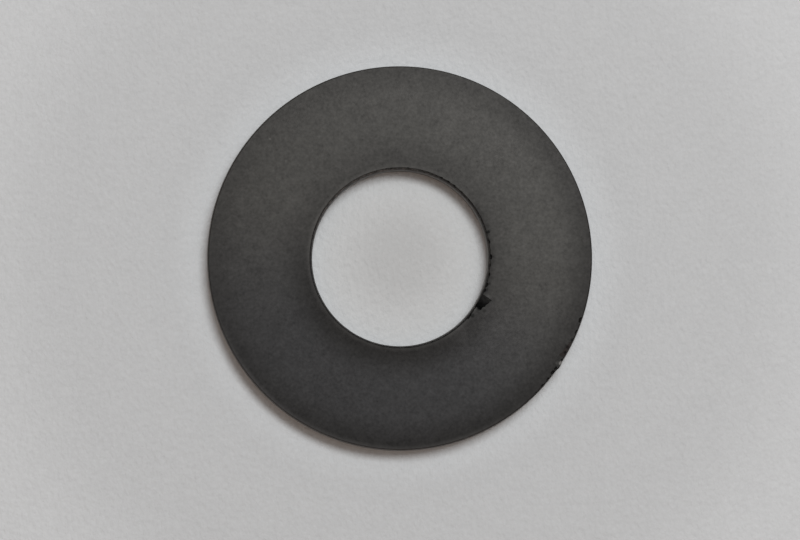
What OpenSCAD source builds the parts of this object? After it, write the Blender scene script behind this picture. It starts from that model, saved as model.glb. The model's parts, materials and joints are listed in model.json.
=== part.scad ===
// Flat washer, punched from sheet steel and tumbled, lying with its break-out side up.
// Its axis is +Z, and the origin is the centre of the underside. Millimetres and degrees.
// Directions are measured anticlockwise from +X, looking down on the upper face.

/* [Washer] */
// Outside diameter, on the straight part of the rim
outer_d = 14; // [12:0.5:24]
// Bore diameter, on the straight part of its wall
bore_d = 6.4; // [4.3:0.1:8.4]
// Thickness of the sheet
thickness = 1.2; // [1:0.1:2.5]

/* [Punched edges] */
// Width of the die roll, where the tool drew the edges of the underside in
die_roll_w = 0.16; // [0.1:0.01:0.25]
// Height of the die roll
die_roll_h = 0.11; // [0.05:0.01:0.2]
// Height of the break-out band, where the metal tore below the upper face
breakout_h = 0.36; // [0.2:0.02:0.5]
// How far the break-out band leans back from the sheared wall
breakout_lean = 0.05; // [0.03:0.01:0.09]
// Radius that tumbling left on the upper edges
tumbled_r = 0.03; // [0.02:0.01:0.06]

/* [Chip in the bore] */
// Direction of the chip's deep end
bore_chip_at = -33; // [-180:1:180]
// Length of the chip along the bore
bore_chip_run = 0.51; // [0.3:0.01:0.8]
// Reach into the face at the deep end
bore_chip_near = 0.22; // [0.12:0.01:0.4]
// Reach into the face at the shallow end
bore_chip_far = 0.37; // [0.2:0.01:0.6]
// Depth below the upper face at the deep end
bore_chip_depth = 0.32; // [0.2:0.01:0.5]
// Slope of the chip's floor, up towards the shallow end
bore_chip_rise = 28; // [0:1:35]
// Slope of the chip's floor, up into the face
bore_chip_climb = 6; // [0:1:45]

/* [Chip in the rim] */
// Direction of the chip's wide end
rim_chip_at = -31.5; // [-180:0.5:180]
// Length of the chip along the rim
rim_chip_run = 1; // [0.6:0.05:1.5]
// Reach into the face at the wide end
rim_chip_near = 0.2; // [0.1:0.01:0.4]
// Reach into the face at the narrow end
rim_chip_far = 0.05; // [0.02:0.01:0.15]
// Depth below the upper face at the rim
rim_chip_depth = 0.14; // [0.1:0.01:0.4]
// Slope of the chip's floor, up towards the narrow end
rim_chip_rise = 3; // [0:1:15]
// Slope of the chip's floor, up into the face
rim_chip_climb = 30; // [0:1:50]

/* [Torn spots] */
// Size of the single notch beside the bore's chip
notch_d = 0.19; // [0.12:0.01:0.25]
// Direction of the single notch
notch_at = -40; // [-180:0.5:180]
// Middle size of the fine tears along the edge of the bore
fine_tear_d = 0.09; // [0.06:0.01:0.15]
// Middle size of the deep tears there, on the side of the bore's chip
deep_tear_d = 0.12; // [0.08:0.01:0.2]
// Middle size of the pits along the rim, past each end of the rim's chip
pit_d = 0.14; // [0.08:0.01:0.2]

/* [Hidden] */
$fn = 128;

dark_steel = [0.29, 0.285, 0.28];
bore_r = bore_d / 2;
outer_r = outer_d / 2;
shear_top = thickness - breakout_h;
bore_edge_r = bore_r + breakout_lean; // where each break-out band meets the upper face
rim_edge_r = outer_r - breakout_lean;
// Direction of each fine tear
fine_tears_at = [16, 24, 30, 37, 40, 47, 53, 58, 63, 66, 72, 85, 96, 99];
// Direction of each deep tear, its share of their middle size, and its place out from the edge
deep_tears = [
    [-21.3, 0.9, 0.03],
    [-17.5, 1.15, 0.03],
    [-10.8, 1.1, 0.02],
    [-5, 0.85, 0.01],
    [0.5, 1.25, 0.03],
    [10.3, 0.9, 0.02]
];
// Direction of each pit, its share of their middle size, and its place in from the edge
pits = [
    [-44.8, 0.8, 0.04],
    [-42, 0.95, 0.04],
    [-39.5, 1.1, 0.04],
    [-37, 1.05, 0.05],
    [-35.5, 0.95, 0.04],
    [-22.9, 1, 0.02],
    [-18.7, 1.35, 0.02]
];
roll_steps = 6;
tumble_steps = 3;
spill = 0.16; // how far a cutter runs on into free air, past the edge that it bites
ball_fn = 24;
uneven = 0.3; // share by which fine tears differ in size
golden_angle = 137.5; // spreads those sizes with no repeat

// Quarter of an ellipse from one direction to another, about a centre
function sweep(centre, w, h, from, to, steps) =
    [for (i = [0 : steps])
        let (a = from + (to - from) * i / steps)
            centre + [w * cos(a), h * sin(a)]];

// Size of the fine tear with this number
function fine_tear(i) = fine_tear_d * (1 + uneven * sin(golden_angle * i));

// Outline of the cut section, from the bore's die roll round to its break-out band
module section() {
    polygon(concat(
        sweep([bore_r + die_roll_w, die_roll_h], die_roll_w, die_roll_h, 180, 270, roll_steps),
        sweep([outer_r - die_roll_w, die_roll_h], die_roll_w, die_roll_h, 270, 360, roll_steps),
        [[outer_r, shear_top]],
        sweep([rim_edge_r - tumbled_r, thickness - tumbled_r], tumbled_r, tumbled_r, 0, 90, tumble_steps),
        sweep([bore_edge_r + tumbled_r, thickness - tumbled_r], tumbled_r, tumbled_r, 90, 180, tumble_steps),
        [[bore_r, shear_top]]
    ));
}

// Broken-out wedge on an upper edge. It starts at its deep end and runs anticlockwise.
// into is 1 where the metal lies outside edge_r, and -1 where it lies inside.
module chip(edge_r, into, at, run, near, far, depth, rise, climb) {
    block = 4 * (run + depth);
    rotate(at)
        translate([edge_r, 0, thickness - depth])
            intersection() {
                linear_extrude(2 * depth)
                    polygon([[-into * spill, 0], [into * near, 0], [into * far, run], [-into * spill, run]]);
                rotate([rise, -into * climb, 0])
                    translate([-block / 2, -block / 2, 0])
                        cube(block);
            }
}

// Ball-shaped bite, centred on the upper face at this radius
module bite(centre_r, at, d) {
    rotate(at)
        translate([centre_r, 0, thickness])
            sphere(d = d, $fn = ball_fn);
}

module washer() {
    color(dark_steel)
        difference() {
            rotate_extrude()
                section();
            chip(bore_edge_r, 1, bore_chip_at, bore_chip_run, bore_chip_near, bore_chip_far,
                bore_chip_depth, bore_chip_rise, bore_chip_climb);
            chip(rim_edge_r, -1, rim_chip_at, rim_chip_run, rim_chip_near, rim_chip_far,
                rim_chip_depth, rim_chip_rise, rim_chip_climb);
            bite(bore_edge_r, notch_at, notch_d);
            for (i = [0 : len(fine_tears_at) - 1])
                bite(bore_edge_r, fine_tears_at[i], fine_tear(i));
            for (tear = deep_tears)
                bite(bore_edge_r + tear[2], tear[0], deep_tear_d * tear[1]);
            for (pit = pits)
                bite(rim_edge_r - pit[2], pit[0], pit_d * pit[1]);
        }
}

washer();
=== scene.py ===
# %% [markdown]
# # A punched steel washer
#
# This lesson dresses one flat washer: a ring of sheet steel, punched out in a press, tumbled with
# others to take off its burrs, and given a dull, dark oxide finish. It lies on a sheet of paper
# with its torn side up. There is one piece, so all the care goes into its section, its edges and
# its surface. The washer was drawn first as an exact solid, and that solid gives every size here.

# %% Load the exact solid
import json
import math
import random

import bmesh
import bpy
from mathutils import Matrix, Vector


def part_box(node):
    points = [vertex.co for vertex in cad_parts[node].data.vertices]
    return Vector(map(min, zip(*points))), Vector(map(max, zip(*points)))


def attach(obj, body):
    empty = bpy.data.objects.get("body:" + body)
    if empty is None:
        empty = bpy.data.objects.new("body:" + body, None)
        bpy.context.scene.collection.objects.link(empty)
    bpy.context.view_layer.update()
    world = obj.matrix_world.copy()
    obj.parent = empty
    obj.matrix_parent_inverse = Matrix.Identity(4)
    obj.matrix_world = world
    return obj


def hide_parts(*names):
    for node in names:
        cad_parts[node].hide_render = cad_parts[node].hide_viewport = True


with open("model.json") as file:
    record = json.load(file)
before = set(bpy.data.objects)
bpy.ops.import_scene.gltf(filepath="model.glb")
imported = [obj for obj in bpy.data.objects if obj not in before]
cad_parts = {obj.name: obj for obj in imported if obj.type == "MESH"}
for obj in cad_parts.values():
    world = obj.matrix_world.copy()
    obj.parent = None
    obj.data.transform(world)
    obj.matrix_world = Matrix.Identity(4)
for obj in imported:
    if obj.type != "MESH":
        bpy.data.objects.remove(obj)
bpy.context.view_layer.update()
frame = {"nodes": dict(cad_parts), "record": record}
print("nodes:", sorted(frame["nodes"]))

# %% [markdown]
# ## Sizes
#
# The solid's own box gives the rim and the thickness, and its bore mount gives the hole. The rest
# are named as a press worker would name them: a die roll where the tool drew the lower edges in,
# a sheared land above it, and a break-out band where the sheet tore. A washer is tiny beside
# Blender's usual limits, so it is modelled in millimetres and shrunk to metres as the last step.

# %% Sizes, in millimetres
MM = 0.001
hair = 0.001  # what lies nearer than this is taken to touch
low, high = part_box("washer")
rim_r = (high[0] - low[0]) / 2 / MM
thickness = (high[2] - low[2]) / MM
bore_mount = next(m for m in frame["record"]["mounts"] if m["kind"] == "bore")
bore_r = bore_mount["dims"]["r_mm"]

die_roll = 0.12
breakout_h = 0.36
breakout_lean = 0.05
tumbled_r = 0.03
shear_top = thickness - breakout_h
bore_edge_r = bore_r + breakout_lean
rim_edge_r = rim_r - breakout_lean
print(f"rim radius {rim_r:.2f}, bore radius {bore_r:.2f}, thickness {thickness:.2f} mm")

# %% [markdown]
# ## Camera
#
# The washer is seen from close by and almost straight above, a little from its lower left. The
# bore's wall shows as a dark line all round, since the hole narrows downwards. The camera starts
# out looking straight down, and is then tilted by the small turn between that direction and its
# line to the aim point. Turned so, it doesn't roll.

# %% Camera
eye_height = 95
aim = Vector((-0.01, -0.447, thickness)) * MM
eye = Vector((-2.4, -3.9, thickness + eye_height)) * MM
bpy.ops.object.select_all(action="DESELECT")
bpy.ops.object.camera_add(location=eye)
camera = bpy.context.object
camera.name = "camera"
camera.data.lens = 118.2
camera.data.clip_start = MM
straight_down = Vector((0, 0, -1))
camera.rotation_euler = straight_down.rotation_difference(aim - eye).to_euler()
bpy.context.scene.camera = camera
tilt = math.degrees(straight_down.angle(aim - eye))
print(f"camera tilt from straight down: {tilt:.1f} degrees")

# %% [markdown]
# ## Light
#
# The light falls in from a window, high at the upper right. A sun lamp would do for its direction,
# but a sun is round, and a window is wider than it is high, so an oval area lamp stands for it. Its
# direction sets how far the shadow reaches past the rim, and its size how soft the shadow's edge
# is. A larger, weaker oval in the same place gives the shadow its gentle foot, and an even sky
# fills the rest. The sky is a little warmer than the window, as a lit room is, so shadows come out
# faintly brown.

# %% Light
lamp_azimuth = math.radians(60)
lamp_height = math.radians(72.4)
lamp_distance = 0.25
lamp_place = lamp_distance * Vector(
    (
        math.cos(lamp_height) * math.cos(lamp_azimuth),
        math.cos(lamp_height) * math.sin(lamp_azimuth),
        math.sin(lamp_height),
    )
)


def oval_lamp(name, height, width, watts, colour):
    bpy.ops.object.select_all(action="DESELECT")
    bpy.ops.object.light_add(type="AREA", location=lamp_place)
    lamp = bpy.context.object
    lamp.name = name
    lamp.data.shape = "ELLIPSE"
    lamp.data.size = height
    lamp.data.size_y = width
    lamp.data.energy = watts
    lamp.data.color = colour
    lamp.rotation_euler = (0, math.pi / 2 - lamp_height, lamp_azimuth)


oval_lamp("window", height=0.058, width=0.10, watts=0.37, colour=(0.94, 1.0, 1.04))
oval_lamp("window haze", height=0.15, width=0.20, watts=0.13, colour=(0.88, 1.0, 1.09))
print("lamp place, mm:", [round(value / MM) for value in lamp_place])

# %% Sky
world = bpy.data.worlds.new("even sky")
bpy.context.scene.world = world
world.use_nodes = True
sky = world.node_tree.nodes["Background"]
sky.inputs["Color"].default_value = (1.0, 0.84, 0.74, 1)
sky.inputs["Strength"].default_value = 0.345
bpy.context.scene.view_settings.view_transform = "Standard"
print("sky strength:", round(sky.inputs["Strength"].default_value, 3))

# %% [markdown]
# ## Helpers for working by hand
#
# These three do what a hand does in the viewport: leave one object selected, pick its points by
# where they lie, and apply its modifiers.

# %% Helpers
def work_on(obj):
    """Leaves this object as the only one selected, and active."""
    bpy.ops.object.select_all(action="DESELECT")
    obj.select_set(True)
    bpy.context.view_layer.objects.active = obj


def pick(keep):
    """In edit mode, selects just the points whose place passes the test, and what they span."""
    mesh = bmesh.from_edit_mesh(bpy.context.edit_object.data)
    for part in (mesh.verts, mesh.edges, mesh.faces):
        for item in part:
            item.select = False
    for vert in mesh.verts:
        vert.select = keep(vert.co)
    mesh.select_flush(True)
    bmesh.update_edit_mesh(bpy.context.edit_object.data)


def apply_all(obj):
    """Applies an object's modifiers, in their order."""
    work_on(obj)
    for modifier in list(obj.modifiers):
        bpy.ops.object.modifier_apply(modifier=modifier.name)


# %% [markdown]
# ## The section
#
# A punched ring has the same section all round, so it is drawn once and turned. A plane is stood
# upright at the wall's place and its face is taken off, which leaves a closed outline. The outline
# gets a knee where the shear ended, its upper corners are drawn in, and its corners are bevelled
# as points: widely below, for the die roll, and finely above, where tumbling wore them.

# %% Draw the outline
middle_r = (bore_r + rim_r) / 2
bpy.ops.object.select_all(action="DESELECT")
bpy.ops.mesh.primitive_plane_add(
    size=1, location=(middle_r, 0, thickness / 2), rotation=(math.pi / 2, 0, 0)
)
ring = bpy.context.object
ring.name = "washer_ring"
ring.scale = (rim_r - bore_r, thickness, 1)
bpy.ops.object.transform_apply(location=True, rotation=True, scale=True)

bpy.ops.object.mode_set(mode="EDIT")
bpy.ops.mesh.delete(type="ONLY_FACE")
bpy.ops.mesh.select_all(action="SELECT")
bpy.ops.mesh.bisect(plane_co=(0, 0, shear_top), plane_no=(0, 0, 1))
pick(lambda p: p.z > thickness - hair)
lean_in = (rim_edge_r - bore_edge_r) / (rim_r - bore_r)
bpy.ops.transform.resize(value=(lean_in, 1, 1), center_override=(middle_r, 0, thickness))
pick(lambda p: p.z < hair)
bpy.ops.mesh.bevel(offset=die_roll, segments=6, affect="VERTICES")
pick(lambda p: p.z > thickness - hair)
bpy.ops.mesh.bevel(offset=tumbled_r, segments=3, affect="VERTICES")
bpy.ops.object.mode_set(mode="OBJECT")
print("outline points:", len(ring.data.vertices))

# %% [markdown]
# ## Rings of points where the metal tore
#
# The break-out bands will be roughened, so they need fine rows of points. The land below them is
# smooth and needs few. The upper face gets rings only near its edges, closer together the nearer
# they are. A bisect splits whichever selected edges of the outline cross its plane.

# %% Cut the outline more finely
land_rows = 4
torn_rows = 11
ring_reaches = (0.085, 0.12, 0.15, 0.19, 0.24, 0.3, 0.4, 0.6, 1.0)


def cut_rows(count, bottom, top):
    """Splits the outline into this many rows between two heights."""
    for row in range(1, count):
        height = bottom + (top - bottom) * row / count
        bpy.ops.mesh.select_all(action="SELECT")
        bpy.ops.mesh.bisect(plane_co=(0, 0, height), plane_no=(0, 0, 1))


work_on(ring)
bpy.ops.object.mode_set(mode="EDIT")
cut_rows(land_rows, die_roll, shear_top)
cut_rows(torn_rows, shear_top, thickness - tumbled_r)
for reach in ring_reaches:
    for radius in (bore_r + reach, rim_r - reach):
        pick(lambda p: p.z > thickness - hair)
        bpy.ops.mesh.bisect(plane_co=(radius, 0, 0), plane_no=(1, 0, 0))
bpy.ops.object.mode_set(mode="OBJECT")
print("outline points:", len(ring.data.vertices))

# %% [markdown]
# ## The ring
#
# The outline is turned once round the axis. The Spin tool would do, but with this many steps it is
# slow, because it extrudes one step at a time. The Screw modifier with no rise makes the same
# solid at once. Its seam is merged, and its normals are made to face outwards.

# %% Turn the outline into a ring
steps = 1080
turn = ring.modifiers.new("turn", "SCREW")
turn.axis = "Z"
turn.angle = math.tau
turn.steps = steps
turn.render_steps = steps
turn.use_merge_vertices = True
turn.merge_threshold = hair
apply_all(ring)
bpy.ops.object.mode_set(mode="EDIT")
bpy.ops.mesh.select_all(action="SELECT")
bpy.ops.mesh.normals_make_consistent(inside=False)
bpy.ops.object.mode_set(mode="OBJECT")
print("ring:", len(ring.data.vertices), "points,", len(ring.data.polygons), "faces")

# %% [markdown]
# ## Nodes
#
# A few helpers keep the shader code short. Each adds a node and fills its sockets, either with
# plain numbers or with links from other nodes. The first ones do sums with single values.

# %% Node helpers: sums
def put(tree, kind, sockets=None, **settings):
    """Adds a node, changes its settings, and fills its sockets with numbers or links."""
    item = tree.nodes.new(kind)
    for name, value in settings.items():
        setattr(item, name, value)
    for key, value in (sockets or {}).items():
        if isinstance(value, bpy.types.NodeSocket):
            tree.links.new(value, item.inputs[key])
        else:
            item.inputs[key].default_value = value
    return item


def maths(tree, operation, *values):
    return put(tree, "ShaderNodeMath", dict(enumerate(values)), operation=operation).outputs[0]


def times(tree, first, *others):
    for other in others:
        first = maths(tree, "MULTIPLY", first, other)
    return first


def plus(tree, first, *others):
    for other in others:
        first = maths(tree, "ADD", first, other)
    return first


def sway(tree, value, amount, middle=0.0):
    """Turns noise between 0 and 1 into a value that sways this much about its middle."""
    return maths(tree, "MULTIPLY_ADD", value, amount, middle - amount / 2)


def ramp(tree, value, start, end, low=0.0, high=1.0):
    """Smoothly turns a value between start and end into one between low and high."""
    sockets = {"Value": value, "From Min": start, "From Max": end, "To Min": low, "To Max": high}
    item = put(tree, "ShaderNodeMapRange", sockets, interpolation_type="SMOOTHSTEP")
    return item.outputs["Result"]


# %% [markdown]
# ## Places, patterns and colours
#
# A place and a colour both have three parts, so the same vector sums serve for both: a place is
# scaled to stretch a pattern, and a colour is scaled to shade it. Noise is the pattern behind every
# grain here, because sheet steel and paper have no regular one.

# %% Node helpers: places, patterns and colours
def vector_maths(tree, operation, *values, output="Vector", scale=None):
    sockets = dict(enumerate(values))
    if scale is not None:
        sockets["Scale"] = scale
    return put(tree, "ShaderNodeVectorMath", sockets, operation=operation).outputs[output]


def noise(tree, place, scale, detail=2.0, roughness=0.5, distortion=0.0):
    sockets = {
        "Vector": place,
        "Scale": scale,
        "Detail": detail,
        "Roughness": roughness,
        "Distortion": distortion,
    }
    return put(tree, "ShaderNodeTexNoise", sockets).outputs["Fac"]


def blend(tree, factor, a, b):
    """Mixes two colours."""
    item = put(tree, "ShaderNodeMix", {"Factor": factor}, data_type="RGBA")
    for name, value in (("A", a), ("B", b)):
        socket = [s for s in item.inputs if s.name == name and s.type == "RGBA"][0]
        if isinstance(value, bpy.types.NodeSocket):
            tree.links.new(value, socket)
        else:
            socket.default_value = (*value, 1)
    return [s for s in item.outputs if s.type == "RGBA"][0]


# %% [markdown]
# ## Groups and materials
#
# An effect that several finishes share is built once as a node group, and each finish places it
# with its own values. Every finish here also has a fine relief, which is left to a bump, because
# it is far finer than the mesh.

# %% Node helpers: groups and materials
FLOAT, VECTOR = "NodeSocketFloat", "NodeSocketVector"


def new_group(name, inputs, outputs):
    """Starts a node group, and returns it with the nodes at its two ends."""
    group = bpy.data.node_groups.new(name, "ShaderNodeTree")
    for label, kind in inputs:
        group.interface.new_socket(label, in_out="INPUT", socket_type=kind)
    for label, kind in outputs:
        group.interface.new_socket(label, in_out="OUTPUT", socket_type=kind)
    return group, group.nodes.new("NodeGroupInput"), group.nodes.new("NodeGroupOutput")


def use_group(tree, group, sockets=None):
    return put(tree, "ShaderNodeGroup", sockets, node_tree=group).outputs


def new_material(name):
    material = bpy.data.materials.new(name)
    material.use_nodes = True
    tree = material.node_tree
    return material, tree, tree.nodes["Principled BSDF"]


def emboss(tree, shader, height, strength, depth):
    """Gives a material a fine relief, no deeper than this many metres."""
    sockets = {"Height": height, "Strength": strength, "Distance": depth}
    bump = put(tree, "ShaderNodeBump", sockets)
    tree.links.new(bump.outputs["Normal"], shader.inputs["Normal"])


# %% [markdown]
# ## Paper
#
# The washer lies on a sheet of plain drawing paper. A flat plane is enough for it. It is made far
# larger than the camera sees, so that its edges never show.

# %% Sheet of paper
bpy.ops.object.select_all(action="DESELECT")
bpy.ops.mesh.primitive_plane_add(size=1.2, location=(0, 0, 0))
paper = bpy.context.object
paper.name = "paper"
print("paper side, mm:", round(paper.dimensions.x / MM))

# %% [markdown]
# ## Tooth and tone of the paper
#
# Such paper has a tooth, a fine relief that a slanting light picks out, so its pattern goes to a
# bump. Rolling draws the tooth out a little in one direction, so its noise is squeezed across that
# direction. Finer flecks and soft clouds show in the colour alone. The sheet's tone is painted
# uneven. Painted shade darkens the middle of the hole and a band round the washer, painted light
# brightens the hole's edge and, further out, the corners, and the hole is faintly yellower.

# %% Finish of the paper
sheet, tree, shader = new_material("paper")
here = put(tree, "ShaderNodeTexCoord").outputs["Object"]
place = vector_maths(tree, "SCALE", here, scale=1 / MM)
distance = vector_maths(tree, "LENGTH", place, output="Value")
# painted shade and painted light on the paper, set by the distance from the washer's middle
painted_shade_and_glow = times(
    tree,
    ramp(tree, distance, 0.5, 3.3, 0.90, 1.11),
    ramp(tree, distance, 7.0, 8.7, 1.02, 0.892),
    ramp(tree, distance, 12.0, 17.0, 1.0, 1.108),
)
rolled = vector_maths(tree, "MULTIPLY", place, (1.2, 0.87, 1.0))
tooth = noise(tree, rolled, 5.0)
flecks = noise(tree, place, 6.0, roughness=0.6)
clouds = noise(tree, place, 1.6)
shade = times(
    tree,
    painted_shade_and_glow,
    sway(tree, flecks, 0.15, middle=1.0),
    sway(tree, clouds, 0.07, middle=1.0),
)
clean_sheet = (0.489, 0.4864, 0.4842)
yellower_sheet = (0.493, 0.4855, 0.4765)
in_the_hole = ramp(tree, distance, 3.6, 2.6)
tint = blend(tree, in_the_hole, clean_sheet, yellower_sheet)
colour = vector_maths(tree, "SCALE", tint, scale=shade)
tree.links.new(colour, shader.inputs["Base Color"])
shader.inputs["Roughness"].default_value = 0.9
shader.inputs["Specular IOR Level"].default_value = 0.1
emboss(tree, shader, tooth, strength=1.0, depth=0.000045)
paper.data.materials.append(sheet)
print("paper nodes:", len(tree.nodes))

# %% [markdown]
# ## Where a point lies on the washer
#
# Every finish below depends on how far a point lies from the bore's edge, from the rim's edge and
# from the table. Shades could be painted on an unwrapped image instead, but a washer is round, so
# a few measures say it all. This group takes them from the Object coordinates, in millimetres, so
# that each finish can use them under one name. A second group tells how far round the washer a
# point lies: 1 in the given direction, and -1 on the opposite side.

# %% Group: place on the washer
group, start, end = new_group(
    "washer place",
    [],
    [("Place", VECTOR), ("From bore", FLOAT), ("From rim", FLOAT), ("Height", FLOAT)],
)
here = put(group, "ShaderNodeTexCoord").outputs["Object"]
place = vector_maths(group, "SCALE", here, scale=1 / MM)
height = put(group, "ShaderNodeSeparateXYZ", {0: place}).outputs["Z"]
flat = vector_maths(group, "MULTIPLY", place, (1, 1, 0))
radius = vector_maths(group, "LENGTH", flat, output="Value")
group.links.new(place, end.inputs["Place"])
group.links.new(maths(group, "SUBTRACT", radius, bore_edge_r), end.inputs["From bore"])
group.links.new(maths(group, "SUBTRACT", rim_edge_r, radius), end.inputs["From rim"])
group.links.new(height, end.inputs["Height"])
washer_place = group
print("group:", group.name, "with", len(group.nodes), "nodes")

# %% Group: side of the washer
group, start, end = new_group(
    "washer side", [("Place", VECTOR), ("Toward", VECTOR)], [("Side", FLOAT)]
)
flat = vector_maths(group, "MULTIPLY", start.outputs["Place"], (1, 1, 0))
outward = vector_maths(group, "NORMALIZE", flat)
side = vector_maths(group, "DOT_PRODUCT", outward, start.outputs["Toward"], output="Value")
group.links.new(side, end.inputs["Side"])
washer_side = group


def toward(degrees):
    return (math.cos(math.radians(degrees)), math.sin(math.radians(degrees)), 0)


def side_of(tree, where, direction):
    """How far a point lies on one side of the washer, from 1 there to -1 opposite."""
    sockets = {"Place": where["Place"], "Toward": direction}
    return use_group(tree, washer_side, sockets)["Side"]


print("group:", group.name, "with", len(group.nodes), "nodes")

# %% [markdown]
# ## Grain of the steel
#
# Rolled sheet that was tumbled and oxidised has a fine, even grain, a softer mottle a few times
# larger, broad faint clouds, and a few dark specks. Noise at three sizes gives the first three, and
# small cells that are dark only where a wide noise allows give the specks. The same grain drives
# colour and bump.

# %% Group: grain of the steel
group, start, end = new_group(
    "steel grain",
    [("Place", VECTOR)],
    [("Fine", FLOAT), ("Mottle", FLOAT), ("Cloud", FLOAT), ("Specks", FLOAT)],
)
place = start.outputs["Place"]
dots = put(group, "ShaderNodeTexVoronoi", {"Vector": place, "Scale": 3.5}, feature="F1")
dot = ramp(group, dots.outputs["Distance"], 0.14, 0.05)
chance = ramp(group, noise(group, place, 1.7), 0.50, 0.60)
for label, value in (
    ("Fine", noise(group, place, 9.0, detail=3.0, roughness=0.6)),
    ("Mottle", noise(group, place, 3.6, distortion=0.3)),
    ("Cloud", noise(group, place, 0.8)),
    ("Specks", times(group, dot, chance)),
):
    group.links.new(value, end.inputs[label])
steel_grain = group
print("group:", group.name, "with", len(group.nodes), "nodes")

# %% [markdown]
# ## Small marks, painted glints and painted shade
#
# A washer that rattled about with others has a few marks of its own, and some of the spots here are
# painted light and shade. A painted glint and a bright streak light the rim's chip, and painted
# highlights catch the end of the bore's chip and the ridge beyond it. Painted shade darkens the
# notch and the deep end of the bore's chip. Some of the tears and the rim's chip carry darker
# spots, one speck is scratched bright, and a few places are faintly lighter or darker. Painted by
# hand they would be fixed in an image, but in a list each can be read and moved: a soft round spot
# at a chosen direction and radius. The group adds up how much lighter or darker they make the
# steel. Depth counts for less than breadth, so a mark reaches the floor of a shallow chip, but
# doesn't run down the walls.

# %% Group: small marks, painted glints and painted shade
marks = (
    # (direction in degrees, radius, size, share lighter or darker)
    # painted glint and a bright streak at the rim's chip
    (-33.3, 6.97, 0.11, 5.5),
    (-33.8, 6.84, 0.10, 0.7),
    # painted highlight on the end of the bore's chip
    (-34.8, 3.26, 0.07, 1.4),
    # soft darker spots below the bore's chip
    (-32.2, 3.60, 0.09, -0.3),
    (-35.2, 3.50, 0.08, -0.2),
    # painted shade in the notch and at the deep end of the bore's chip
    (-38.9, 3.35, 0.12, -0.6),
    (-32.8, 3.38, 0.11, -0.7),
    # painted highlight on the ridge beyond the bore's chip
    (-23.6, 3.42, 0.10, 0.35),
    (-23.9, 3.54, 0.11, 0.45),
    # darker spots along the rim's chip
    (-32.3, 6.93, 0.07, -0.8),
    (-29.9, 6.90, 0.09, -0.8),
    (-28.1, 6.89, 0.10, -0.5),
    (-28.1, 6.80, 0.10, -0.3),
    (-25.6, 6.91, 0.10, -0.75),
    # darker spots in tears at the bore
    (16.4, 3.33, 0.09, -0.8),
    (-16.3, 3.38, 0.07, -0.4),
    (-20.6, 3.34, 0.08, -0.4),
    (0.8, 3.36, 0.08, -0.3),
    # bright scratched specks
    (137.6, 6.38, 0.07, 0.55),
    (139.7, 5.44, 0.05, 0.35),
    (-44.1, 4.65, 0.05, 0.3),
    # faint broad spots, darker or lighter
    (-7.3, 5.54, 0.45, -0.07),
    (-52.0, 3.42, 0.55, 0.28),
    (-26.0, 6.70, 0.45, 0.10),
)
depth_share = 0.4
group, start, end = new_group("small marks", [("Place", VECTOR)], [("Tone", FLOAT)])
flatter = vector_maths(group, "MULTIPLY", start.outputs["Place"], (1, 1, depth_share))
tone = 1.0
for direction, radius, size, share in marks:
    centre = radius * Vector(toward(direction)) + Vector((0, 0, depth_share * thickness))
    gap = vector_maths(group, "DISTANCE", flatter, centre, output="Value")
    tone = plus(group, ramp(group, gap, size, 0.3 * size, 0.0, share), tone)
group.links.new(tone, end.inputs["Tone"])
small_marks = group
print("marks:", len(marks))

# %% [markdown]
# ## How every finish starts
#
# The washer's four finishes all begin the same way: with the place of a point, the steel's grain
# there, and any mark, painted glint or painted shade on it. One function adds those nodes, which
# keeps the finishes alike where they meet.

# %% Start of a finish
def start_finish(name):
    material, tree, shader = new_material(name)
    where = use_group(tree, washer_place)
    grain = use_group(tree, steel_grain, {"Place": where["Place"]})
    mark = use_group(tree, small_marks, {"Place": where["Place"]})["Tone"]
    return material, tree, shader, where, grain, mark


# %% [markdown]
# ## Oxide on the faces
#
# The finish is a dull, dark grey oxide: half metal, half stain, with a wide soft shine. It changes
# smoothly with the distance from an edge and with the side of the washer, over the steel's own
# grain. Sides that press and tumbler treated differently, and sides where light and shade are
# painted into the colour, are named first, each by the direction of its middle.

# %% Sides of the washer
# the side towards the window, which sets the painted light and shade below
lit_side = toward(75)
torn_side = toward(5)
# the side away from the window
open_side = toward(240)
stained_side = toward(322)
# the side where the rim's edge lies in shade, and is painted lighter
rim_shade_side = toward(255)
# the side where the bore's land lies in shade, and is painted darker
shaded_land_side = toward(115)

oxide, tree, shader, where, grain, mark = start_finish("oxide_face")
lit_part = side_of(tree, where, lit_side)
torn_part = side_of(tree, where, torn_side)
open_part = side_of(tree, where, open_side)
stained_part = side_of(tree, where, stained_side)
rim_shade_part = side_of(tree, where, rim_shade_side)
print("oxide nodes so far:", len(tree.nodes))

# %% [markdown]
# ## Tarnish and painted shade
#
# The oxide tarnished darker in a broad band along each edge. The bore's band is made darkest on the
# side away from the window, which is painted shade, and the rim's band is darkest on the stained
# side. Where the bands come close, the darker of the two counts.

# %% Tarnish and painted shade along the edges
near_bore = ramp(tree, where["From bore"], 1.4, 0.05)
# painted shade: the bore's band is darkest on the side away from the window
near_bore = times(tree, near_bore, ramp(tree, lit_part, -0.95, 0.35, 1.0, 0.42))
near_rim = ramp(tree, where["From rim"], 1.35, 0.0)
near_rim = times(tree, near_rim, maths(tree, "MULTIPLY_ADD", stained_part, 0.27, 0.64))
tarnish_and_shade = maths(tree, "MAXIMUM", near_bore, near_rim)
print("oxide nodes so far:", len(tree.nodes))

# %% [markdown]
# ## Lighter and stained edges, with painted light and shade
#
# Tumbling rubbed the bore's edge a little lighter, and it is made lighter still on the open side,
# away from the window. The rim's edge is painted lighter on the side where it lies in shade, as
# painted light. Where the bore tore most, dirt has stained the edge instead, and round the open
# side a thin dark line of painted shade lies at the mouth.

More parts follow.
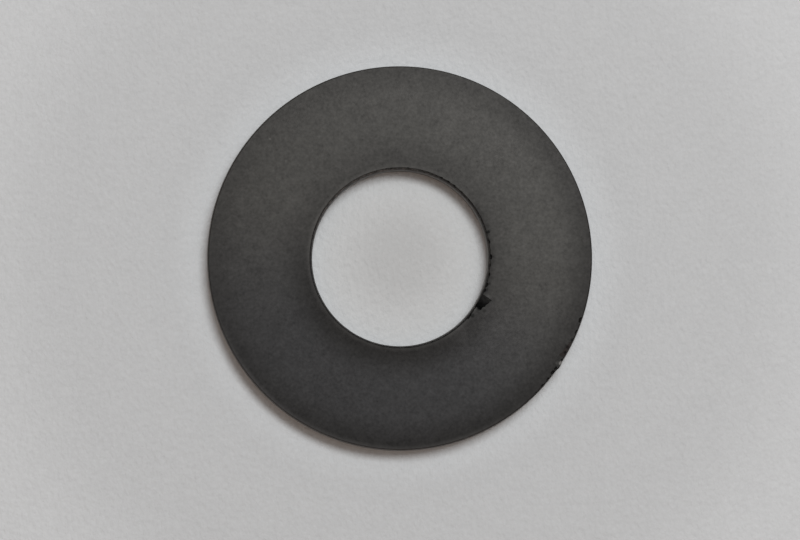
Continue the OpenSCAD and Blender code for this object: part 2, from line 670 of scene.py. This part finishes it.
# %% Lighter and stained edges, with painted light and shade
torn_most = ramp(tree, torn_part, 0.75, 0.92)
rubbed_bore = times(
    tree,
    ramp(tree, where["From bore"], 0.20, 0.05, 0.0, 0.22),
    maths(tree, "SUBTRACT", 1.0, torn_most),
    ramp(tree, open_part, -0.2, 0.5, 1.0, 2.6),
)
# painted light: the rim's edge is lighter on the side where it lies in shade
painted_rim_light = times(
    tree,
    ramp(tree, where["From rim"], 0.20, 0.0, 0.0, 0.9),
    ramp(tree, rim_shade_part, 0.45, 0.85),
)
stained = times(tree, ramp(tree, where["From bore"], 0.26, 0.04, 0.0, -0.36), torn_most)
# painted shade: a thin dark line at the bore's mouth on the open side
mouth_line = times(
    tree,
    ramp(tree, where["From bore"], 0.05, 0.02, 0.0, -1.0),
    ramp(tree, open_part, -0.4, 0.3),
)
print("oxide nodes so far:", len(tree.nodes))

# %% [markdown]
# ## Colour and shine of the oxide
#
# The grain, the lighter and stained edges, the painted rim light and the painted dark line at the
# mouth add up to one tone round 1. The marks and a painted light and shade by side, darkest away
# from the window, multiply it. The tone then scales the colour, which runs from fresh oxide to
# tarnish and painted shade. Fresh oxide is painted a little warmer on the side towards the window,
# as painted warm light.

# %% Colour and shine of the oxide
tone = plus(
    tree,
    sway(tree, grain["Fine"], 0.96, middle=1.0),
    sway(tree, grain["Mottle"], 0.52),
    sway(tree, grain["Cloud"], 0.16),
    maths(tree, "MULTIPLY", grain["Specks"], -0.22),
    rubbed_bore,
    painted_rim_light,
    stained,
    mouth_line,
)
# painted light and shade by side: darkest away from the window
painted_light = times(
    tree, ramp(tree, lit_part, -0.8, 0.25, 0.94, 1.14), ramp(tree, lit_part, 0.25, 1.0, 1.0, 0.89)
)
tone = times(tree, tone, mark, painted_light)
cool_oxide = (0.0280, 0.0265, 0.0261)
# the warmer colour is painted warm light, on the side towards the window
warm_lit_oxide = (0.0288, 0.0266, 0.0242)
# the colour for tarnish, and for the painted shade away from the window
tarnish_and_shade_colour = (0.0140, 0.0128, 0.0118)
fresh_and_lit = blend(tree, ramp(tree, lit_part, -0.9, 0.2), cool_oxide, warm_lit_oxide)
colour = blend(tree, tarnish_and_shade, fresh_and_lit, tarnish_and_shade_colour)
tree.links.new(vector_maths(tree, "SCALE", colour, scale=tone), shader.inputs["Base Color"])
shader.inputs["Metallic"].default_value = 0.55
shader.inputs["Roughness"].default_value = 0.38
shader.inputs["Specular IOR Level"].default_value = 0.04
relief = plus(tree, times(tree, grain["Fine"], 0.6), times(tree, grain["Mottle"], 0.4))
emboss(tree, shader, relief, strength=0.25, depth=0.000004)
print("oxide nodes:", len(tree.nodes))

# %% [markdown]
# ## Punched walls: the land
#
# Low on a punched wall the tool left a smooth land with fine upright streaks. They are noise that
# hardly changes with height. On one side, where it lies in shade, the land is painted darker, as
# painted shade.

# %% Sheared land
wall, tree, shader, where, grain, mark = start_finish("punched_wall")
upright = vector_maths(tree, "MULTIPLY", where["Place"], (1.0, 1.0, 0.06))
streaks = noise(tree, upright, 22.0, detail=3.0, roughness=0.6)
land = blend(tree, streaks, (0.085, 0.080, 0.075), (0.18, 0.171, 0.162))
shaded_land_part = side_of(tree, where, shaded_land_side)
# painted shade: the land is darker on the side where it lies in shade
land = vector_maths(tree, "SCALE", land, scale=ramp(tree, shaded_land_part, 0.5, 0.95, 1.0, 0.6))
print("wall nodes so far:", len(tree.nodes))

# %% [markdown]
# ## Punched walls: the tear
#
# Above the land the metal tore, and the tear is a brown-black line, with blacker beads where it is
# deepest. It is paler where it tore least, and painted blackest on the open side, where the window
# lights it, as painted shade. On the rim, away from the side that tore most, the tear is painted
# bright again, as painted light.

# %% Torn band
torn_part = side_of(tree, where, torn_side)
open_part = side_of(tree, where, open_side)
along = vector_maths(tree, "MULTIPLY", where["Place"], (1.0, 1.0, 0.3))
beads = ramp(tree, noise(tree, along, 6.0, detail=1.5), 0.42, 0.56)
tear = blend(tree, beads, (0.036, 0.0312, 0.0282), (0.009, 0.0078, 0.0070))
less_torn = ramp(tree, torn_part, 0.5, 0.1, 1.0, 4.0)
# painted shade: the tear is blackest on the open side, where the window lights it
open_side_shade = ramp(tree, open_part, -0.3, 0.4, 1.0, 0.05)
tear = vector_maths(tree, "SCALE", tear, scale=times(tree, less_torn, open_side_shade))
on_the_rim = ramp(tree, where["From bore"], 1.0, 2.0)
# painted light: on the rim, away from the side that tore most, the tear is painted bright
painted_wall_light = times(tree, on_the_rim, ramp(tree, torn_part, 0.75, 0.2))
tear = blend(tree, painted_wall_light, tear, (0.11, 0.104, 0.098))
print("wall nodes so far:", len(tree.nodes))

# %% [markdown]
# ## Punched walls: both together
#
# One mask by height turns the land into the tear, and the mottle makes the line between them
# uneven. The land is mostly bare metal. The tear is rough and hardly shines.

# %% Colour and shine of the walls
height = plus(tree, where["Height"], sway(tree, grain["Mottle"], 0.16))
torn_mask = ramp(tree, height, shear_top - 0.08, thickness - 0.18)
colour = vector_maths(tree, "SCALE", blend(tree, torn_mask, land, tear), scale=mark)
tree.links.new(colour, shader.inputs["Base Color"])
tree.links.new(ramp(tree, torn_mask, 0, 1, 0.6, 0.0), shader.inputs["Metallic"])
tree.links.new(ramp(tree, torn_mask, 0, 1, 0.45, 0.8), shader.inputs["Roughness"])
shader.inputs["Specular IOR Level"].default_value = 0.2
relief = plus(tree, streaks, times(tree, grain["Fine"], torn_mask))
emboss(tree, shader, relief, strength=0.5, depth=0.00001)
print("wall nodes:", len(tree.nodes))

# %% [markdown]
# ## Torn steel
#
# Where a chip broke out, the metal is rough. It is black at the bottom, which is painted shade and
# dirt together, and towards the upper face it turns into the brown-grey of the oxide, which is what
# makes a chip look deep. The small pits are the same torn steel, painted blacker still for their
# shade and dirt, so one function makes both finishes.

# %% Torn steel in the chips and pits
def torn_finish(name, bottom, bore_top, rim_top):
    """Rough torn steel, from black at the bottom of a chip, painted shade and dirt, to its colour
    near the face.
    """
    material, tree, shader, where, grain, mark = start_finish(name)
    height = plus(tree, where["Height"], sway(tree, grain["Fine"], 0.12))
    shallow = ramp(tree, height, thickness - 0.24, thickness - 0.04)
    top = blend(tree, ramp(tree, where["From bore"], 1.0, 2.0), bore_top, rim_top)
    colour = blend(tree, shallow, bottom, top)
    tree.links.new(vector_maths(tree, "SCALE", colour, scale=mark), shader.inputs["Base Color"])
    shader.inputs["Roughness"].default_value = 0.85
    shader.inputs["Specular IOR Level"].default_value = 0.1
    emboss(tree, shader, grain["Fine"], strength=0.6, depth=0.00002)
    return material


# painted shade and dirt: the black at the bottom of chips and pits
dirt_and_shade = (0.0015, 0.0014, 0.0013)
torn = torn_finish("torn_steel", dirt_and_shade, (0.017, 0.0163, 0.0155), (0.027, 0.0225, 0.0210))
pit_dirt = torn_finish("pit_dirt", dirt_and_shade, (0.009, 0.0081, 0.0074), (0.012, 0.0103, 0.0095))
print("torn finishes:", torn.name, pit_dirt.name)

# %% [markdown]
# ## Which face has which finish
#
# The ring carries the finishes in slots. Its faces start with the oxide, and those between the
# underside and the tumbled upper edges get the punched finish. They could be picked by hand in edit
# mode, but their height finds them all at once. The two torn finishes come with the cutters.

# %% Give the walls their material by place
finishes = (oxide, wall, torn, pit_dirt)
for material in finishes:
    ring.data.materials.append(material)
wall_faces = [f for f in ring.data.polygons if hair < f.center.z < thickness - tumbled_r]
for face in wall_faces:
    face.material_index = finishes.index(wall)
print("wall faces:", len(wall_faces), "of", len(ring.data.polygons))

# %% [markdown]
# ## The torn bands
#
# Above the land the metal tore, so the wall is rough there. Sculpting would do, but a Displace
# modifier with a cloud texture treats the whole band alike, and can be applied and measured.

# %% Helpers for rough skins
def cloud_texture(name, size, depth):
    texture = bpy.data.textures.new(name, "CLOUDS")
    texture.noise_scale = size
    texture.noise_depth = depth
    return texture


def roughen(obj, texture, strength, mid_level=0.5, group=""):
    """Moves an object's surface along its normals by a cloud texture, then applies it."""
    push = obj.modifiers.new("rough", "DISPLACE")
    push.texture = texture
    push.texture_coords = "GLOBAL"
    push.mid_level = mid_level
    push.strength = strength
    push.vertex_group = group
    apply_all(obj)


tear_grain = cloud_texture("tear grain", size=0.13, depth=2)
print("texture for the cutters:", tear_grain.name)

# %% [markdown]
# ## Rough bands
#
# The points of each break-out band are pushed back into the metal, never out of it. Their weights
# say how far each one goes. They fade towards the knee and the upper face, so that the band keeps
# its ends.

# %% Roughen the break-out bands
band_margin = 0.01
band_roughness = 0.035
fade = 5  # how steeply the weight rises from either end of the band
knee_weight = 0.15
fade_end = 1.05  # just past the top, so that some weight is left there
band = ring.vertex_groups.new(name="break-out band")
in_band = 0
for vert in ring.data.vertices:
    p = vert.co
    radius = math.hypot(p.x, p.y)
    at_a_wall = radius < bore_edge_r + band_margin or radius > rim_edge_r - band_margin
    if at_a_wall and p.z > shear_top - band_margin:
        share = (p.z - shear_top) / (thickness - tumbled_r - shear_top)
        weight = min(1.0, fade * share + knee_weight, fade * (fade_end - share))
        if weight > 0:
            band.add([vert.index], weight, "REPLACE")
            in_band += 1
wall_grain = cloud_texture("torn wall", size=0.12, depth=3)
roughen(ring, wall_grain, -band_roughness, mid_level=0.0, group=band.name)
print("points in the bands:", in_band)

# %% [markdown]
# ## A small lip
#
# Where the rim's chip broke off, it first drew the metal out into a small lip. A few points of the
# rim's upper edge are pulled outwards there, and proportional editing lets their neighbours follow.

# %% Draw the lip out
lip_at = -34.3
lip_place = Vector(toward(lip_at)) * rim_r
lip_height = 0.2
lip_radius = 0.08
lip_reach = 0.055
lip_spread = 0.22
work_on(ring)
bpy.ops.object.mode_set(mode="EDIT")
pick(lambda p: p.z > thickness - lip_height and (p.xy - lip_place.xy).length < lip_radius)
bpy.ops.transform.translate(
    value=lip_place.normalized() * lip_reach,
    use_proportional_edit=True,
    proportional_edit_falloff="SMOOTH",
    proportional_size=lip_spread,
)
bpy.ops.object.mode_set(mode="OBJECT")
print("points drawn out:", sum(vert.select for vert in ring.data.vertices))

# %% [markdown]
# ## Chips
#
# Two wedges broke out of the upper edges, one at the bore and one at the rim. They could be dug in
# by moving the ring's own points, but a cutter gives crisp edges and can be shaped by itself. Each
# starts as a block whose outer side and floor are slanted point by point. It is then cut finely,
# turned to its place and roughened. The rim's wedge is the mirror image of the bore's, which turns
# its skin inside out, so its normals are flipped back.

# %% Wedge cutter
spill = 0.16  # how far a wedge runs on into free air, past the edge that it bites


def at_upper_face(radius, degrees):
    """The place level with the upper face at this radius and direction."""
    angle = math.radians(degrees)
    return (radius * math.cos(angle), radius * math.sin(angle), thickness)


def wedge(name, edge_r, into, at, run, near, far, depth, rise, climb, rough):
    """A block that runs anticlockwise from its deep end, with a floor that slopes up.

    It reaches near into the face at its deep end, and far at its shallow end.
    """
    bpy.ops.object.select_all(action="DESELECT")
    bpy.ops.mesh.primitive_cube_add(size=1, location=((near - spill) / 2, run / 2, 0))
    block = bpy.context.object
    block.name = name
    block.scale = (near + spill, run, 2 * depth)
    bpy.ops.object.transform_apply(location=True, rotation=True, scale=True)
    bpy.ops.object.mode_set(mode="EDIT")
    pick(lambda p: p.x > 0 and p.y > run / 2)
    bpy.ops.transform.translate(value=(far - near, 0, 0))
    pick(lambda p: p.z < 0 and p.y > run / 2)
    bpy.ops.transform.translate(value=(0, 0, run * math.tan(math.radians(rise))))
    pick(lambda p: p.z < 0 and p.x > 0)
    bpy.ops.transform.translate(value=(0, 0, near * math.tan(math.radians(climb))))
    bpy.ops.mesh.select_all(action="SELECT")
    bpy.ops.mesh.subdivide(number_cuts=20)
    bpy.ops.object.mode_set(mode="OBJECT")
    block.scale = (into, 1, 1)
    block.location = at_upper_face(edge_r, at)
    block.rotation_euler = (0, 0, math.radians(at))
    bpy.ops.object.transform_apply(location=True, rotation=True, scale=True)
    if into < 0:
        bpy.ops.object.mode_set(mode="EDIT")
        bpy.ops.mesh.select_all(action="SELECT")
        bpy.ops.mesh.flip_normals()
        bpy.ops.object.mode_set(mode="OBJECT")
    block.data.materials.append(torn)
    roughen(block, tear_grain, rough)
    return block


# %% [markdown]
# ## The two chips
#
# The bore's chip is short and deep, and widens as it gets shallow. The rim's is long and shallow,
# and narrows to almost nothing. Their sizes and slopes are the exact solid's.

# %% Cutters for the two chips
bore_chip = {"at": -33, "run": 0.51, "depth": 0.32, "rise": 28, "climb": 6, "rough": 0.09}
rim_chip = {"at": -31.5, "run": 1.0, "depth": 0.14, "rise": 3, "climb": 30, "rough": 0.06}
cutters = [
    wedge("bore chip", bore_edge_r, into=1, near=0.22, far=0.37, **bore_chip),
    wedge("rim chip", rim_edge_r, into=-1, near=0.20, far=0.05, **rim_chip),
]
print("wedges:", [cutter.name for cutter in cutters])

# %% [markdown]
# ## Torn spots
#
# The torn line is uneven: here and there a small crumb of metal came out with the slug. Each spot
# is a ball, drawn out along the edge and downwards, with a rough skin. An icosphere's faces are
# nearly alike, so its skin roughens evenly. The first spot is the notch beside the bore's chip.

# %% Ball cutter for a torn spot
crumb_shape = (0.8, 1.3, 1.5)  # outwards, along the edge, and downwards
crumb_roughness = 0.4


def bite(name, edge_r, at, size):
    """A rough ball on the upper face, at this radius and direction."""
    bpy.ops.object.select_all(action="DESELECT")
    bpy.ops.mesh.primitive_ico_sphere_add(
        subdivisions=3,
        radius=size / 2,
        location=at_upper_face(edge_r, at),
        rotation=(0, 0, math.radians(at)),
    )
    ball = bpy.context.object
    ball.name = name
    ball.scale = crumb_shape
    bpy.ops.object.transform_apply(location=True, rotation=True, scale=True)
    ball.data.materials.append(pit_dirt)
    roughen(ball, tear_grain, size * crumb_roughness)
    return ball


cutters.append(bite("notch", bore_edge_r, at=-40.3, size=0.19))
print("notch faces:", len(cutters[-1].data.polygons))

# %% [markdown]
# ## Tears and pits
#
# The deep tears and the pits are listed one by one. The fine tears are alike, so a seeded draw
# varies only their sizes, and every run gives the same washer.

# %% Deep tears, fine tears and pits
deep_tears = (
    # (direction in degrees, size, distance out from the edge)
    (10.3, 0.11, 0.02),
    (0.5, 0.15, 0.03),
    (-5.0, 0.10, 0.01),
    (-10.8, 0.13, 0.02),
    (-17.5, 0.14, 0.03),
    (-21.3, 0.11, 0.03),
)
fine_tear = 0.10
fine_tears_at = (16, 24, 30, 37, 40, 47, 53, 58, 63, 66, 72, 85, 96, 99)
pits = (
    # (direction in degrees, size, distance in from the edge)
    (-44.8, 0.08, 0.02),
    (-42.0, 0.10, 0.03),
    (-39.4, 0.12, 0.03),
    (-37.0, 0.13, 0.05),
    (-35.5, 0.11, 0.05),
    (-22.9, 0.14, 0.02),
    (-19.1, 0.18, 0.03),
)
for at, size, out in deep_tears:
    cutters.append(bite("deep tear", bore_edge_r + out, at, size))
luck = random.Random(4)
for at in fine_tears_at:
    cutters.append(bite("fine tear", bore_edge_r, at, fine_tear * luck.uniform(0.7, 1.3)))
for at, size, further_in in pits:
    cutters.append(bite("pit", rim_edge_r - further_in, at, size))
print("cutters:", len(cutters))

# %% [markdown]
# ## Taking the cutters out
#
# All cutters are joined and taken out of the ring by one Boolean, since thirty Booleans in a row
# would be slow. Its Manifold solver is quick, and gives the cut faces the cutters' own material, so
# each chip shows torn steel.

# %% Take them all out of the ring
work_on(cutters[0])
for cutter in cutters:
    cutter.select_set(True)
bpy.ops.object.join()
cutter = cutters[0]
cut = ring.modifiers.new("cut", "BOOLEAN")
cut.operation = "DIFFERENCE"
cut.solver = "MANIFOLD"
cut.object = cutter
apply_all(ring)
bpy.data.objects.remove(cutter)
print("after the cuts:", len(ring.data.vertices), "points")

# %% [markdown]
# ## Mending the skin beside the cuts
#
# Beside a cut the Boolean leaves faces with many sides, and slivers where a cutter's edge runs
# close to one of the ring's. Those faces are made triangles, and all that is thinner than a
# thousandth of a millimetre is dissolved, so the skin stays closed when the mesh is written out.

# %% Mend the skin
sliver = 0.001
work_on(ring)
bpy.ops.object.mode_set(mode="EDIT")
bpy.ops.mesh.select_all(action="DESELECT")
bpy.ops.mesh.select_face_by_sides(number=4, type="GREATER")
bpy.ops.mesh.quads_convert_to_tris(ngon_method="BEAUTY")
bpy.ops.mesh.select_all(action="SELECT")
bpy.ops.mesh.dissolve_degenerate(threshold=sliver)
bpy.ops.object.mode_set(mode="OBJECT")
print("after mending:", len(ring.data.vertices), "points")

# %% [markdown]
# ## To metres, and onto the frame
#
# The ring is shrunk to metres and its smooth parts are shaded smooth, with every edge over 30
# degrees left sharp. It rides on the washer's one body and takes the exact solid's place.

# %% Finish
ring.scale = (MM, MM, MM)
work_on(ring)
bpy.ops.object.transform_apply(location=True, rotation=True, scale=True)
bpy.ops.object.shade_smooth_by_angle(angle=math.radians(30))
triangles = sum(len(face.vertices) - 2 for face in ring.data.polygons)
print("triangles:", triangles)

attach(ring, "root")
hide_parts("washer")
